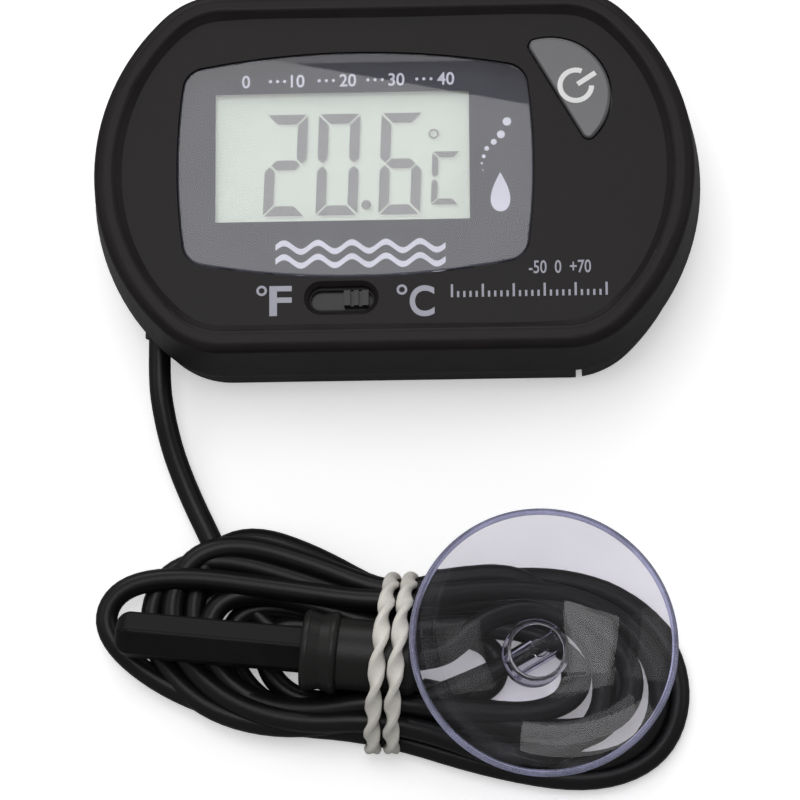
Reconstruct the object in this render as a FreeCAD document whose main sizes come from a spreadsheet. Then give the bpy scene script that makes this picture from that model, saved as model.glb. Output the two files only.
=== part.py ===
import FreeCAD, Part
import math
import os
import re
import Sketcher

# Digital aquarium thermometer: a two-shell housing with a display, a power key, a unit slider and
# a battery door, a probe on a cable that is tied into a hank, and a suction cup.
# Millimetres. The housing lies on its back: +Z is the way the display faces, +Y is the top of the
# display, and the origin is the centre of the housing's back face.

os.makedirs("parts", exist_ok=True)
doc = FreeCAD.newDocument("AquariumThermometer")

SIZES = {
    # housing, seen from the front
    "housing_width": 60.0,
    "housing_height": 37.6,
    "end_radius": 22.5,
    "corner_radius": 9.2,
    "parting_level": 7.2,
    "face_level": 14.3,
    "crown_level": 15.0,
    "rim_width": 2.9,
    "side_draft": 5.0,
    "back_inset": 0.25,
    "wall": 1.6,
    "floor_thickness": 1.3,
    "ceiling_level": 12.8,
    # window
    "lens_centre_x": -3.75,
    "lens_centre_y": 0.6,
    "lens_width": 34.8,
    "lens_height": 22.6,
    "lens_bow_top": 1.7,
    "lens_bow_side": 0.8,
    "lens_corner": 2.2,
    "lens_level": 13.4,
    "lens_thickness": 0.95,
    "lens_gap": 0.14,
    "lens_ledge": 1.6,
    "mask_thickness": 0.1,
    # liquid crystal display
    "view_centre_x": -5.05,
    "view_centre_y": 1.55,
    "view_width": 24.9,
    "view_height": 13.0,
    "glass_width": 30.0,
    "glass_height": 16.6,
    "rear_glass_height": 13.6,
    "glass_thickness": 0.7,
    "glass_level": 11.0,
    "film_thickness": 0.2,
    "holder_width": 32.4,
    "holder_height": 19.4,
    "holder_level": 12.7,
    "zebra_width": 27.0,
    "zebra_depth": 1.3,
    # circuit board and what is soldered to it
    "board_level": 8.4,
    "board_thickness": 1.0,
    "board_left": -21.0,
    "board_right": 19.5,
    "board_half_height": 14.9,
    "board_corner": 3.0,
    # power key: a circle cut off along a chord, and turned
    "key_radius": 5.95,
    "key_chord": 0.7,
    "key_corner": 0.7,
    "key_centre_x": 15.35,
    "key_centre_y": 7.15,
    "key_angle": 30.0,
    "key_level": 14.6,
    "key_gap": 0.15,
    "key_flange": 0.7,
    "key_flange_low": 12.1,
    "key_flange_top": 12.75,
    # unit slider
    "slider_centre_x": -5.15,
    "slider_centre_y": -12.85,
    "recess_length": 7.3,
    "recess_width": 3.4,
    "recess_level": 13.3,
    "recess_slope": 0.45,
    "slot_length": 6.0,
    "slot_width": 1.95,
    "thumb_length": 2.4,
    "thumb_width": 1.5,
    "thumb_level": 14.2,
    "thumb_centre_x": -3.7,
    "slider_travel": 2.0,
    # battery compartment
    "door_left": 18.0,
    "door_gap": 0.6,
    "door_top": 7.0,
    "cell_radius": 5.8,
    "cell_height": 5.4,
    "cell_centre_x": 20.7,
    "cell_centre_y": 6.1,
    "cell_level": 1.55,
    "tray_left": 14.3,
    "tray_right": 23.4,
    "tray_wall_end": 21.0,
    "tray_half_height": 12.9,
    "tray_thickness": 0.95,
    "contact_left": 16.3,
    "contact_half_width": 1.5,
    # screws
    "case_screw_radius": 0.85,
    "case_boss_radius": 1.9,
    "board_screw_radius": 0.65,
    "board_boss_radius": 1.4,
    # socket in the back for the knob of the suction cup
    "socket_radius": 3.3,
    "socket_depth": 3.4,
    # cable, hank and probe
    "cable_radius": 1.1,
    "gland_radius": 1.45,
    "gland_inner_y": -10.2,
    "gland_outer_y": -14.0,
    "cable_exit_x": -23.8,
    "cable_exit_z": 3.7,
    "hank_height": 4.4,
    "waist_height": 6.6,
    "tie_thickness": 0.6,
    "tie_width": 1.55,
    "tie_half_span": 8.7,
    "tie_shoulder": 5.3,
    "tie_top": 10.4,
    "tie_top_half_span": 3.2,
    "probe_level": 6.7,
    "probe_angle": -6.0,
    "collar_x": -9.45,
    "collar_y": -46.15,
    "capsule_length": 18.35,
    "capsule_radius": 2.3,
    "capsule_insert": 5.0,
    "capsule_wall": 1.0,
    "capsule_top_corner": 174.0,
    "sleeve_length": 11.5,
    "sleeve_radius": 3.5,
    "sleeve_bore": 2.4,
    "lip_radius": 3.9,
    "lip_length": 3.6,
    # suction cup
    "cup_radius": 13.0,
    "cup_depth": 5.2,
    "cup_knob_radius": 3.2,
    "cup_neck_radius": 2.6,
    "cup_length": 9.9,
    "cup_centre_x": 14.2,
    "cup_centre_y": -46.6,
    "cup_rim_level": 12.4,
    "cup_tilt": 9.2,
    "cup_hole_radius": 1.15,
    "cup_hole_angle": 31.8,
}

# Where the screws stand: case screws join the two shells, board screws hold the circuit board.
CASE_SCREWS = [(-25.2, 7.5), (-25.2, -7.5), (12.3, 16.0), (12.3, -16.0)]
BOARD_SCREWS = [(-17.0, 13.0), (7.5, 13.0), (-17.0, -12.2), (8.5, -11.8)]

sheet = doc.addObject("Spreadsheet::Sheet", "Sizes")
for row, (alias, value) in enumerate(SIZES.items(), start=1):
    sheet.set(f"A{row}", alias)
    sheet.set(f"B{row}", str(value))
    sheet.setAlias(f"B{row}", alias)
doc.recompute()

NODES = []


def size(alias):
    return float(sheet.get(alias))


def cell(text):
    """Turns the words that are aliases into references to the sheet."""
    return re.sub(r"[a-z_]{4,}", lambda word: f"Sizes.{word[0]}" if word[0] in SIZES else word[0], text)


def number(text):
    """The value that such an expression has now."""
    value = sheet.evalExpression(cell(text))
    return float(getattr(value, "Value", value))


def bind(thing, **sizes):
    """Binds properties to expressions; a double underscore stands for a dot."""
    for name, text in sizes.items():
        thing.setExpression(name.replace("__", "."), cell(text))
    return thing


def node(thing, label):
    """Marks an object as a sub-part, which is written to a file of its own."""
    thing.Label = label
    NODES.append(thing)
    return thing


def place(thing, x="0", y="0", z="0", axis=(0, 0, 1), turn="0"):
    """Puts an object at a place, turned about an axis by an angle in degrees."""
    rotation = FreeCAD.Rotation(FreeCAD.Vector(*axis), number(turn) or 1e-9)
    thing.Placement = FreeCAD.Placement(FreeCAD.Vector(number(x), number(y), number(z)), rotation)
    bind(thing, Placement__Base__x=x, Placement__Base__y=y, Placement__Base__z=z)
    if turn != "0":
        bind(thing, Placement__Rotation__Angle=turn)
    return thing


# --- sketches ---------------------------------------------------------------------------------


def new_body(label):
    return node(doc.addObject("PartDesign::Body", "Body"), label)


def sketch(body, level="0", role="XY_Plane", x="0", y="0", turn=None):
    """A sketch on one of the body's own origin planes, raised to a level along its normal."""
    plane = next(feature for feature in body.Origin.OriginFeatures if feature.Role == role)
    made = body.newObject("Sketcher::SketchObject", "Sketch")
    made.AttachmentSupport = [(plane, "")]
    made.MapMode = "FlatFace"
    offset = FreeCAD.Vector(number(x), number(y), number(level))
    angle = number(turn) if turn else 0
    made.AttachmentOffset = FreeCAD.Placement(offset, FreeCAD.Rotation(angle, 0, 0))
    bind(made, AttachmentOffset__Base__x=x, AttachmentOffset__Base__y=y, AttachmentOffset__Base__z=level)
    if turn:
        bind(made, AttachmentOffset__Rotation__Angle=turn)
    return made


def drive(made, kind, places, text):
    index = made.addConstraint(Sketcher.Constraint(kind, *places, number(text)))
    made.setExpression(f"Constraints[{index}]", cell(text))


def outline(made, corners):
    """A closed loop, anticlockwise, through corners (x, y, bulge). Where the bulge isn't None, the
    edge that leaves the corner is an arc that stands out by that much, or in where it is negative."""
    first = made.GeometryCount
    count = len(corners)
    ends = []
    for index, (x, y, bulge) in enumerate(corners):
        next_x, next_y, _ = corners[(index + 1) % count]
        start = FreeCAD.Vector(number(x), number(y), 0)
        end = FreeCAD.Vector(number(next_x), number(next_y), 0)
        if bulge is None:
            made.addGeometry(Part.LineSegment(start, end), False)
            ends.append((1, 2))
            continue
        along = end - start
        side = FreeCAD.Vector(along.y, -along.x, 0).normalize() * number(bulge)
        made.addGeometry(Part.Arc(start, (start + end) * 0.5 + side, end), False)
        ends.append((1, 2) if number(bulge) > 0 else (2, 1))
    for index in range(count):
        after = (index + 1) % count
        made.addConstraint(
            Sketcher.Constraint("Coincident", first + index, ends[index][1], first + after, ends[after][0])
        )
    for index, (x, y, bulge) in enumerate(corners):
        drive(made, "DistanceX", (-1, 1, first + index, ends[index][0]), x)
        drive(made, "DistanceY", (-1, 1, first + index, ends[index][0]), y)
        next_x, next_y, _ = corners[(index + 1) % count]
        if bulge is not None and next_x == x:
            # an upright chord: the centre's place says it best, even for a half circle
            inward = "-" if number(f"({next_y}) - ({y})") > 0 else "+"
            radius = f"((({next_y}) - ({y}))^2 / (8 * ({bulge})) + ({bulge}) / 2)"
            drive(made, "DistanceX", (-1, 1, first + index, 3), f"({x}) {inward} ({radius} - ({bulge}))")
        elif bulge is not None:
            square = f"((({next_x}) - ({x}))^2 + (({next_y}) - ({y}))^2)"
            drive(made, "Radius", (first + index,), f"{square} / (8 * abs({bulge})) + abs({bulge}) / 2")
    return made


def rectangle(made, left, right, low, high):
    return outline(made, [(left, low, None), (right, low, None), (right, high, None), (left, high, None)])


def circle(made, x, y, radius):
    centre = FreeCAD.Vector(number(x), number(y), 0)
    edge = made.addGeometry(Part.Circle(centre, FreeCAD.Vector(0, 0, 1), number(radius)), False)
    drive(made, "DistanceX", (-1, 1, edge, 3), x)
    drive(made, "DistanceY", (-1, 1, edge, 3), y)
    drive(made, "Radius", (edge,), radius)
    return made


def obround(made, x, y, length, width):
    """A slot along X with round ends."""
    run = f"(({length}) - ({width})) / 2"
    left, right = f"({x}) - {run}", f"({x}) + {run}"
    low, high = f"({y}) - ({width}) / 2", f"({y}) + ({width}) / 2"
    # each end is a half circle, whose bulge is half of the width
    end = f"({width}) / 2"
    return outline(made, [(left, low, None), (right, low, end), (right, high, None), (left, high, end)])


def housing_outline(made, inset):
    """The housing seen from the front: two flats, two round ends and four rounded corners."""
    middle = "(housing_width / 2 - end_radius)"
    half = f"(housing_height / 2 - ({inset}))"
    reach = f"(housing_width / 2 - ({inset}))"
    end = f"(end_radius - ({inset}))"
    round_off = f"(corner_radius - ({inset}))"
    # the corner arc touches the flat at (flat, half) and the end arc at (side, height)
    flat = f"({middle} + sqrt(({end} - {round_off})^2 - ({half} - {round_off})^2))"
    side = f"({middle} + {end} * ({flat} - {middle}) / ({end} - {round_off}))"
    height = f"({end} * ({half} - {round_off}) / ({end} - {round_off}))"
    chord = f"(({side} - {flat})^2 + ({half} - {height})^2)"
    corner_bulge = f"({round_off} - sqrt({round_off}^2 - {chord} / 4))"
    end_bulge = f"({reach} - {side})"
    return outline(made, [
        (f"-{flat}", f"-{half}", None),
        (flat, f"-{half}", corner_bulge),
        (side, f"-{height}", end_bulge),
        (side, height, corner_bulge),
        (flat, half, None),
        (f"-{flat}", half, corner_bulge),
        (f"-{side}", height, end_bulge),
        (f"-{side}", f"-{height}", corner_bulge),
    ])


def lens_outline(made, inset):
    """The window: four gently bowed sides, with its corners still sharp."""
    wide = f"(lens_width / 2 - lens_bow_side - ({inset}))"
    tall = f"(lens_height / 2 - lens_bow_top - ({inset}))"
    left, right = f"lens_centre_x - {wide}", f"lens_centre_x + {wide}"
    low, high = f"lens_centre_y - {tall}", f"lens_centre_y + {tall}"
    return outline(made, [
        (left, low, "lens_bow_top"),
        (right, low, "lens_bow_side"),
        (right, high, "lens_bow_top"),
        (left, high, "lens_bow_side"),
    ])


def key_outline(made, grow):
    """The power key about its own centre: a circle of which one side is cut off along a chord."""
    radius = f"(key_radius + ({grow}))"
    chord = f"(key_chord - ({grow}))"
    half = f"sqrt({radius}^2 - {chord}^2)"
    return outline(made, [(chord, f"-{half}", f"({radius} - {chord})"), (chord, half, None)])


# --- features ---------------------------------------------------------------------------------


def extrude(body, kind, made, length, towards, draft=None):
    feature = body.newObject(kind, kind.split("::")[1])
    feature.Profile = made
    bind(feature, Length=length)
    # a pocket's own direction is against the sketch's normal, and a pad's is along it
    feature.Reversed = (towards < 0) == (kind == "PartDesign::Pad")
    if draft:
        bind(feature, TaperAngle=draft)
    before = body.Shape.Volume if body.Shape.Solids else 0.0
    doc.recompute()
    change = body.Shape.Volume - before
    if (kind == "PartDesign::Pad") != (change > 0) or abs(change) < 1e-3:
        raise RuntimeError(f"{body.Label}: {feature.Name} changes the volume by {change:.3f}")
    return feature


def pad(body, made, length, towards=1, draft=None):
    return extrude(body, "PartDesign::Pad", made, length, towards, draft)


def pocket(body, made, length, towards=-1, draft=None):
    return extrude(body, "PartDesign::Pocket", made, length, towards, draft)


def revolve(body, made, cut=False):
    feature = body.newObject("PartDesign::Groove" if cut else "PartDesign::Revolution", "Turned")
    feature.Profile = made
    feature.ReferenceAxis = (made, ["V_Axis"])
    feature.Angle = 360
    before = body.Shape.Volume if body.Shape.Solids else 0.0
    doc.recompute()
    change = body.Shape.Volume - before
    if cut != (change < 0) or abs(change) < 1e-3:
        raise RuntimeError(f"{body.Label}: {feature.Name} changes the volume by {change:.3f}")
    return feature


def dress(body, kind, edges, radius):
    """A fillet or chamfer on some edges of the body's last feature."""
    base = body.Tip
    feature = body.newObject(kind, kind.split("::")[1])
    feature.Base = (base, edges)
    bind(feature, **{"Size" if kind.endswith("Chamfer") else "Radius": radius})
    doc.recompute()
    if not edges or "Invalid" in feature.State:
        raise RuntimeError(f"{body.Label}: {feature.Name} failed on {len(edges)} edges")
    return feature


def fillet(body, edges, radius):
    return dress(body, "PartDesign::Fillet", edges, radius)


def chamfer(body, edges, radius):
    return dress(body, "PartDesign::Chamfer", edges, radius)


def edges_where(body, test):
    """Names of the edges of the body's last feature that pass a test."""
    return [f"Edge{index}" for index, edge in enumerate(body.Tip.Shape.Edges, start=1) if test(edge)]


def level_edges(body, level, inside=None):
    """Edges that lie at one level, and whose box passes a test where one is given."""
    def test(edge):
        box = edge.BoundBox
        flat = abs(box.ZMin - level) < 1e-3 and abs(box.ZMax - level) < 1e-3
        return flat and (inside is None or inside(box))
    return edges_where(body, test)


def upright_edges(body, low, high):
    """Straight edges that climb from one level to another."""
    def test(edge):
        box = edge.BoundBox
        climbs = abs(box.ZMin - low) < 1e-3 and abs(box.ZMax - high) < 1e-3
        return climbs and isinstance(edge.Curve, Part.Line)
    return edges_where(body, test)


def block(label, left, right, low, high, bottom, top, keep=True):
    """A plain box between six expressions; a sub-part unless it is only a piece of one."""
    made = doc.addObject("Part::Box", "Block")
    bind(made, Length=f"({right}) - ({left})", Width=f"({high}) - ({low})", Height=f"({top}) - ({bottom})")
    bind(made, Placement__Base__x=left, Placement__Base__y=low, Placement__Base__z=bottom)
    return node(made, label) if keep else made


def rod(label, x, y, bottom, top, radius):
    """A plain upright cylinder."""
    made = doc.addObject("Part::Cylinder", "Rod")
    bind(made, Radius=radius, Height=f"({top}) - ({bottom})")
    bind(made, Placement__Base__x=x, Placement__Base__y=y, Placement__Base__z=bottom)
    return node(made, label)


def combine(kind, label, shapes):
    """A sub-part out of several objects: Part::MultiFuse or Part::Compound."""
    made = doc.addObject(kind, "Joined")
    if kind == "Part::Compound":
        made.Links = shapes
    else:
        made.Shapes = shapes
    return node(made, label)


def at(value):
    """A plain number as an expression."""
    return f"({value})"


# --- housing ----------------------------------------------------------------------------------


def make_front_shell():
    body = new_body("front_shell")
    rise = "crown_level - parting_level"
    pad(body, housing_outline(sketch(body, "parting_level"), "0"), rise, draft="-side_draft")
    pocket(body, housing_outline(sketch(body, "crown_level"), "rim_width"), "crown_level - face_level")
    inner_reach = size("housing_width") / 2 - size("rim_width") + 0.01
    crown = size("crown_level")
    fillet(body, level_edges(body, crown, lambda box: not near_rim(box, inner_reach)), "1.1")
    fillet(body, level_edges(body, crown, lambda box: near_rim(box, inner_reach)), "0.65")
    hollow = housing_outline(sketch(body, "parting_level"), "wall")
    pocket(body, hollow, "ceiling_level - parting_level", towards=1)

    # window: a recess for the lens and an opening for the display under it
    ledge = "lens_level - mask_thickness"
    pocket(body, lens_outline(sketch(body, "face_level"), "-lens_gap"), f"face_level - ({ledge})")
    low, high = number(ledge), size("face_level")
    fillet(body, upright_edges(body, low, high), "lens_corner + lens_gap")
    opening = lens_outline(sketch(body, ledge), "lens_ledge")
    pocket(body, opening, f"({ledge}) - ceiling_level")
    fillet(body, upright_edges(body, size("ceiling_level"), low), "1.2")

    # opening for the power key
    key_sketch = sketch(body, "face_level", x="key_centre_x", y="key_centre_y", turn="key_angle")
    pocket(body, key_outline(key_sketch, "key_gap"), "face_level - ceiling_level")
    fillet(body, upright_edges(body, size("ceiling_level"), high), "key_corner + key_gap")

    # recess and slot for the unit slider
    recess = obround(sketch(body, "face_level"), "slider_centre_x", "slider_centre_y",
                     "recess_length - 2 * recess_slope", "recess_width - 2 * recess_slope")
    pocket(body, recess, "face_level - recess_level")
    lip = level_edges(body, high, lambda box: box.YMax < size("slider_centre_y") + 2 and box.YMin > -16)
    chamfer(body, lip, "recess_slope")
    slot = obround(sketch(body, "recess_level"), "slider_centre_x", "slider_centre_y",
                   "slot_length", "slot_width")
    pocket(body, slot, "recess_level - ceiling_level")

    # screw bosses hang from the ceiling
    board_top = "board_level + board_thickness"
    for places, radius, end, pilot in (
        (CASE_SCREWS, "case_boss_radius", "parting_level", "case_screw_radius"),
        (BOARD_SCREWS, "board_boss_radius", board_top, "board_screw_radius"),
    ):
        bosses = sketch(body, "ceiling_level")
        holes = sketch(body, end)
        for x, y in places:
            circle(bosses, at(x), at(y), radius)
            circle(holes, at(x), at(y), pilot)
        pad(body, bosses, f"ceiling_level - ({end})", towards=-1)
        pocket(body, holes, f"ceiling_level - ({end}) - 0.6", towards=1)


def near_rim(box, reach):
    """Whether an edge of the rim belongs to its inner side."""
    half = size("housing_height") / 2 - size("rim_width") + 0.01
    return max(abs(box.XMin), abs(box.XMax)) < reach and max(abs(box.YMin), abs(box.YMax)) < half


def back_solid(label):
    """The whole back of the housing as a hollow tray; the back shell and the door are cut from it."""
    body = new_body(label)
    pad(body, housing_outline(sketch(body, "parting_level"), "back_inset"), "parting_level",
        towards=-1, draft="-side_draft")
    fillet(body, level_edges(body, 0.0), "0.8")
    hollow = housing_outline(sketch(body, "parting_level"), "wall + back_inset")
    pocket(body, hollow, "parting_level - floor_thickness")
    return body


def make_back_shell():
    body = back_solid("back_shell")
    cut_off = rectangle(sketch(body, "parting_level"), "door_left - door_gap", "40", "-30", "30")
    pocket(body, cut_off, "parting_level")

    # screw posts and the socket for the suction cup's knob
    posts = sketch(body, "floor_thickness")
    holes = sketch(body)
    sinks = sketch(body)
    for x, y in CASE_SCREWS:
        circle(posts, at(x), at(y), "case_boss_radius")
        circle(holes, at(x), at(y), "case_screw_radius + 0.1")
        circle(sinks, at(x), at(y), "1.7")
    pad(body, posts, "parting_level - floor_thickness")
    pocket(body, holes, "parting_level", towards=1)
    pocket(body, sinks, "1.5", towards=1)
    tube = circle(sketch(body, "floor_thickness"), "0", "0", "socket_radius + 1.1")
    pad(body, tube, "socket_depth + 1 - floor_thickness")
    pocket(body, circle(sketch(body), "0", "0", "socket_radius"), "socket_depth", towards=1)

    # hole for the cable gland, through the side wall along -Y
    gland = circle(sketch(body, "-gland_inner_y - 1", role="XZ_Plane"),
                   "cable_exit_x", "cable_exit_z", "gland_radius")
    pocket(body, gland, "9", towards=1)


def make_battery_door():
    body = back_solid("battery_door")
    keep_off = rectangle(sketch(body, "parting_level"), "-40", "door_left", "-30", "30")
    pocket(body, keep_off, "parting_level")
    top = rectangle(sketch(body, "parting_level"), "0", "40", "-30", "30")
    pocket(body, top, "parting_level - door_top")
    # grip ribs for a thumb: grooves across the sliding direction
    groove = rectangle(sketch(body), "door_left + 2.6", "door_left + 3.3", "-6.5", "6.5")
    first = pocket(body, groove, "0.45", towards=1)
    ribs = body.newObject("PartDesign::LinearPattern", "Ribs")
    ribs.Originals = [first]
    ribs.Direction = (groove, ["H_Axis"])
    ribs.Length = 4.2
    ribs.Occurrences = 4
    body.Tip = ribs


def screw(places, label, shank, head, head_low, head_high, tip):
    """Identical cross-head screws, driven upwards from the back."""
    screws = []
    for x, y in places:
        body = doc.addObject("PartDesign::Body", "Screw")
        profile = outline(sketch(body, role="XZ_Plane"), [
            ("0", head_low, None),
            (f"{head} - 0.25", head_low, None),
            (head, f"{head_low} + 0.25", None),
            (head, head_high, None),
            (shank, head_high, None),
            (shank, f"{tip} - 0.7", None),
            ("0.25", tip, None),
            ("0", tip, None),
        ])
        revolve(body, profile)
        for long_side, short_side in ((f"{head} * 0.62", "0.2"), ("0.2", f"{head} * 0.62")):
            bar = rectangle(sketch(body, head_low), f"-{long_side}", long_side,
                            f"-{short_side}", short_side)
            pocket(body, bar, "0.5", towards=1)
        place(body, at(x), at(y))
        screws.append(body)
    combine("Part::Compound", label, screws)


# --- window and display -----------------------------------------------------------------------


def make_window():
    lens = new_body("window_lens")
    pad(lens, lens_outline(sketch(lens, "lens_level"), "0"), "lens_thickness")
    top = number("lens_level + lens_thickness")
    fillet(lens, upright_edges(lens, size("lens_level"), top), "lens_corner")
    chamfer(lens, level_edges(lens, top), "0.12")

    mask = new_body("window_mask")
    low = "lens_level - mask_thickness"
    pad(mask, lens_outline(sketch(mask, low), "0.02"), "mask_thickness")
    fillet(mask, upright_edges(mask, number(low), size("lens_level")), "lens_corner")
    view = view_rectangle(mask, low, "view_width", "view_height")
    pocket(mask, view, "mask_thickness", towards=1)


def view_rectangle(body, level, width, height):
    """A rectangle about the centre of the display."""
    return rectangle(
        sketch(body, level),
        f"view_centre_x - ({width}) / 2", f"view_centre_x + ({width}) / 2",
        f"view_centre_y - ({height}) / 2", f"view_centre_y + ({height}) / 2",
    )


def sheet_part(label, width, height, bottom, thickness, corner=None):
    """A flat piece of the display stack."""
    body = new_body(label)
    pad(body, view_rectangle(body, bottom, width, height), thickness)
    if corner:
        fillet(body, upright_edges(body, number(bottom), number(f"{bottom} + {thickness}")), corner)
    return body


def make_display():
    middle = "glass_level + glass_thickness"
    sheet_part("lcd_rear_glass", "glass_width", "rear_glass_height", "glass_level", "glass_thickness")
    sheet_part("lcd_front_glass", "glass_width", "glass_height", middle, "glass_thickness")
    sheet_part("lcd_polarizer", "view_width + 1.6", "view_height + 1.6",
               f"{middle} + glass_thickness", "film_thickness")
    sheet_part("lcd_reflector", "view_width + 1.6", "view_height + 0.4",
               "glass_level - film_thickness", "film_thickness")
    board_top = "board_level + board_thickness"
    holder = sheet_part("lcd_holder", "holder_width", "holder_height", board_top,
                        f"holder_level - ({board_top})", "1.0")
    inside = view_rectangle(holder, board_top, "glass_width + 0.3", "glass_height + 0.3")
    pocket(holder, inside, f"holder_level - ({board_top})", towards=1)
    # rubber connectors stand on the board and press on the ledges of the front glass
    ledge = "(rear_glass_height / 2 + (glass_height - rear_glass_height) / 4)"
    for label, side in (("zebra_strip_upper", "+"), ("zebra_strip_lower", "-")):
        centre = f"view_centre_y {side} {ledge}"
        block(label, "view_centre_x - zebra_width / 2", "view_centre_x + zebra_width / 2",
              f"{centre} - zebra_depth / 2", f"{centre} + zebra_depth / 2", board_top, middle)


# --- circuit board ----------------------------------------------------------------------------


def make_board():
    board = new_body("circuit_board")
    pad(board, rectangle(sketch(board, "board_level"), "board_left", "board_right",
                         "-board_half_height", "board_half_height"), "board_thickness")
    top = number("board_level + board_thickness")
    fillet(board, upright_edges(board, size("board_level"), top), "board_corner")
    holes = sketch(board, "board_level")
    for x, y in BOARD_SCREWS:
        circle(holes, at(x), at(y), "board_screw_radius + 0.15")
    pocket(board, holes, "board_thickness", towards=1)
    notches = sketch(board, "board_level")
    for x, y in CASE_SCREWS[2:]:
        circle(notches, at(x), at(y), "case_boss_radius + 0.3")
    pocket(board, notches, "board_thickness", towards=1)


def make_components():
    # the controller is a bare chip under a drop of black resin, on the back of the board
    chip = new_body("controller_chip")
    drop = outline(sketch(chip, role="XZ_Plane"), [
        ("0", "board_level - 1.1", "0.45"),
        ("4.4", "board_level", None),
        ("0", "board_level", None),
    ])
    revolve(chip, drop)
    place(chip, "-9.5", "3")
    crystal = doc.addObject("Part::Cylinder", "Crystal")
    bind(crystal, Radius="1.0", Height="6")
    place(crystal, "1.5", "-8.5", "board_level - 1", axis=(0, 1, 0), turn="90")
    node(crystal, "timing_crystal")
    for label, length, width, height, places in (
        ("chip_resistors", 1.6, 0.8, 0.45, ((-15.5, -3.0), (-15.5, -5.0), (-1.5, 8.5), (2.5, 8.5))),
        ("chip_capacitors", 2.0, 1.25, 0.8, ((-3.0, -9.8), (10.0, 4.0), (10.0, 7.0))),
    ):
        chips = [
            block(label, at(x), at(x + length), at(y), at(y + width), f"board_level - {height}",
                  "board_level", keep=False)
            for x, y in places
        ]
        combine("Part::Compound", label, chips)


# --- power key and unit slider ----------------------------------------------------------------


def make_power_key():
    key = new_body("power_button")
    flange = key_outline(sketch(key, "key_flange_low"), "key_flange")
    pad(key, flange, "key_flange_top - key_flange_low")
    fillet(key, upright_edges(key, size("key_flange_low"), size("key_flange_top")), "key_corner")
    pad(key, key_outline(sketch(key, "key_flange_top"), "0"), "key_level - key_flange_top")
    fillet(key, upright_edges(key, size("key_flange_top"), size("key_level")), "key_corner")
    fillet(key, level_edges(key, size("key_level")), "0.3")
    place(key, "key_centre_x", "key_centre_y", turn="key_angle")

    board_top = "(board_level + board_thickness)"
    centre_x, centre_y = key_middle()
    case = new_body("power_switch_case")
    pad(case, rectangle(sketch(case, board_top), "-2.25", "2.25", "-2.25", "2.25"), "2.2")
    fillet(case, upright_edges(case, number(board_top), number(f"{board_top} + 2.2")), "0.3")
    pocket(case, circle(sketch(case, f"{board_top} + 2.2"), "0", "0", "1.1"), "1.3")
    place(case, centre_x, centre_y)
    rod("power_switch_plunger", centre_x, centre_y, f"{board_top} + 1.4", "key_flange_low", "1.0")


def key_middle():
    """The point under the middle of the key, where its switch stands."""
    lean = "((key_chord + key_radius) / 2)"
    return (
        f"(key_centre_x + {lean} * cos(key_angle * 1deg))",
        f"(key_centre_y + {lean} * sin(key_angle * 1deg))",
    )


def make_unit_slider():
    knob = new_body("unit_slide_knob")
    plate_low, plate_top = "(ceiling_level - 0.6)", "(ceiling_level - 0.1)"
    plate = rectangle(sketch(knob, plate_low), "thumb_centre_x - 5.6", "thumb_centre_x + 2.9",
                      "slider_centre_y - 1.5", "slider_centre_y + 1.5")
    pad(knob, plate, "0.5")
    thumb = rectangle(sketch(knob, plate_top), "thumb_centre_x - thumb_length / 2",
                      "thumb_centre_x + thumb_length / 2", "slider_centre_y - thumb_width / 2",
                      "slider_centre_y + thumb_width / 2")
    pad(knob, thumb, f"thumb_level - {plate_top}")
    # two grooves leave three grip ridges
    grooves = sketch(knob, "thumb_level")
    for side in ("-", "+"):
        centre = f"thumb_centre_x {side} thumb_length / 6"
        rectangle(grooves, f"{centre} - 0.17", f"{centre} + 0.17", "slider_centre_y - 1",
                  "slider_centre_y + 1")
    pocket(knob, grooves, "0.5")

    board_top = "(board_level + board_thickness)"
    case = new_body("unit_switch_case")
    middle = "(thumb_centre_x - slider_travel / 2)"
    pad(case, rectangle(sketch(case, board_top), f"{middle} - 4.1", f"{middle} + 4.1",
                        "slider_centre_y - 1.7", "slider_centre_y + 1.7"), "2.0")
    channel = rectangle(sketch(case, f"{board_top} + 2"), f"{middle} - 2.1", f"{middle} + 2.1",
                        "slider_centre_y - 0.8", "slider_centre_y + 0.8")
    pocket(case, channel, "1.3")
    block("unit_switch_slider", "thumb_centre_x - 0.8", "thumb_centre_x + 0.8",
          "slider_centre_y - 0.6", "slider_centre_y + 0.6", f"{board_top} + 1", plate_low)


# --- batteries --------------------------------------------------------------------------------


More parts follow.
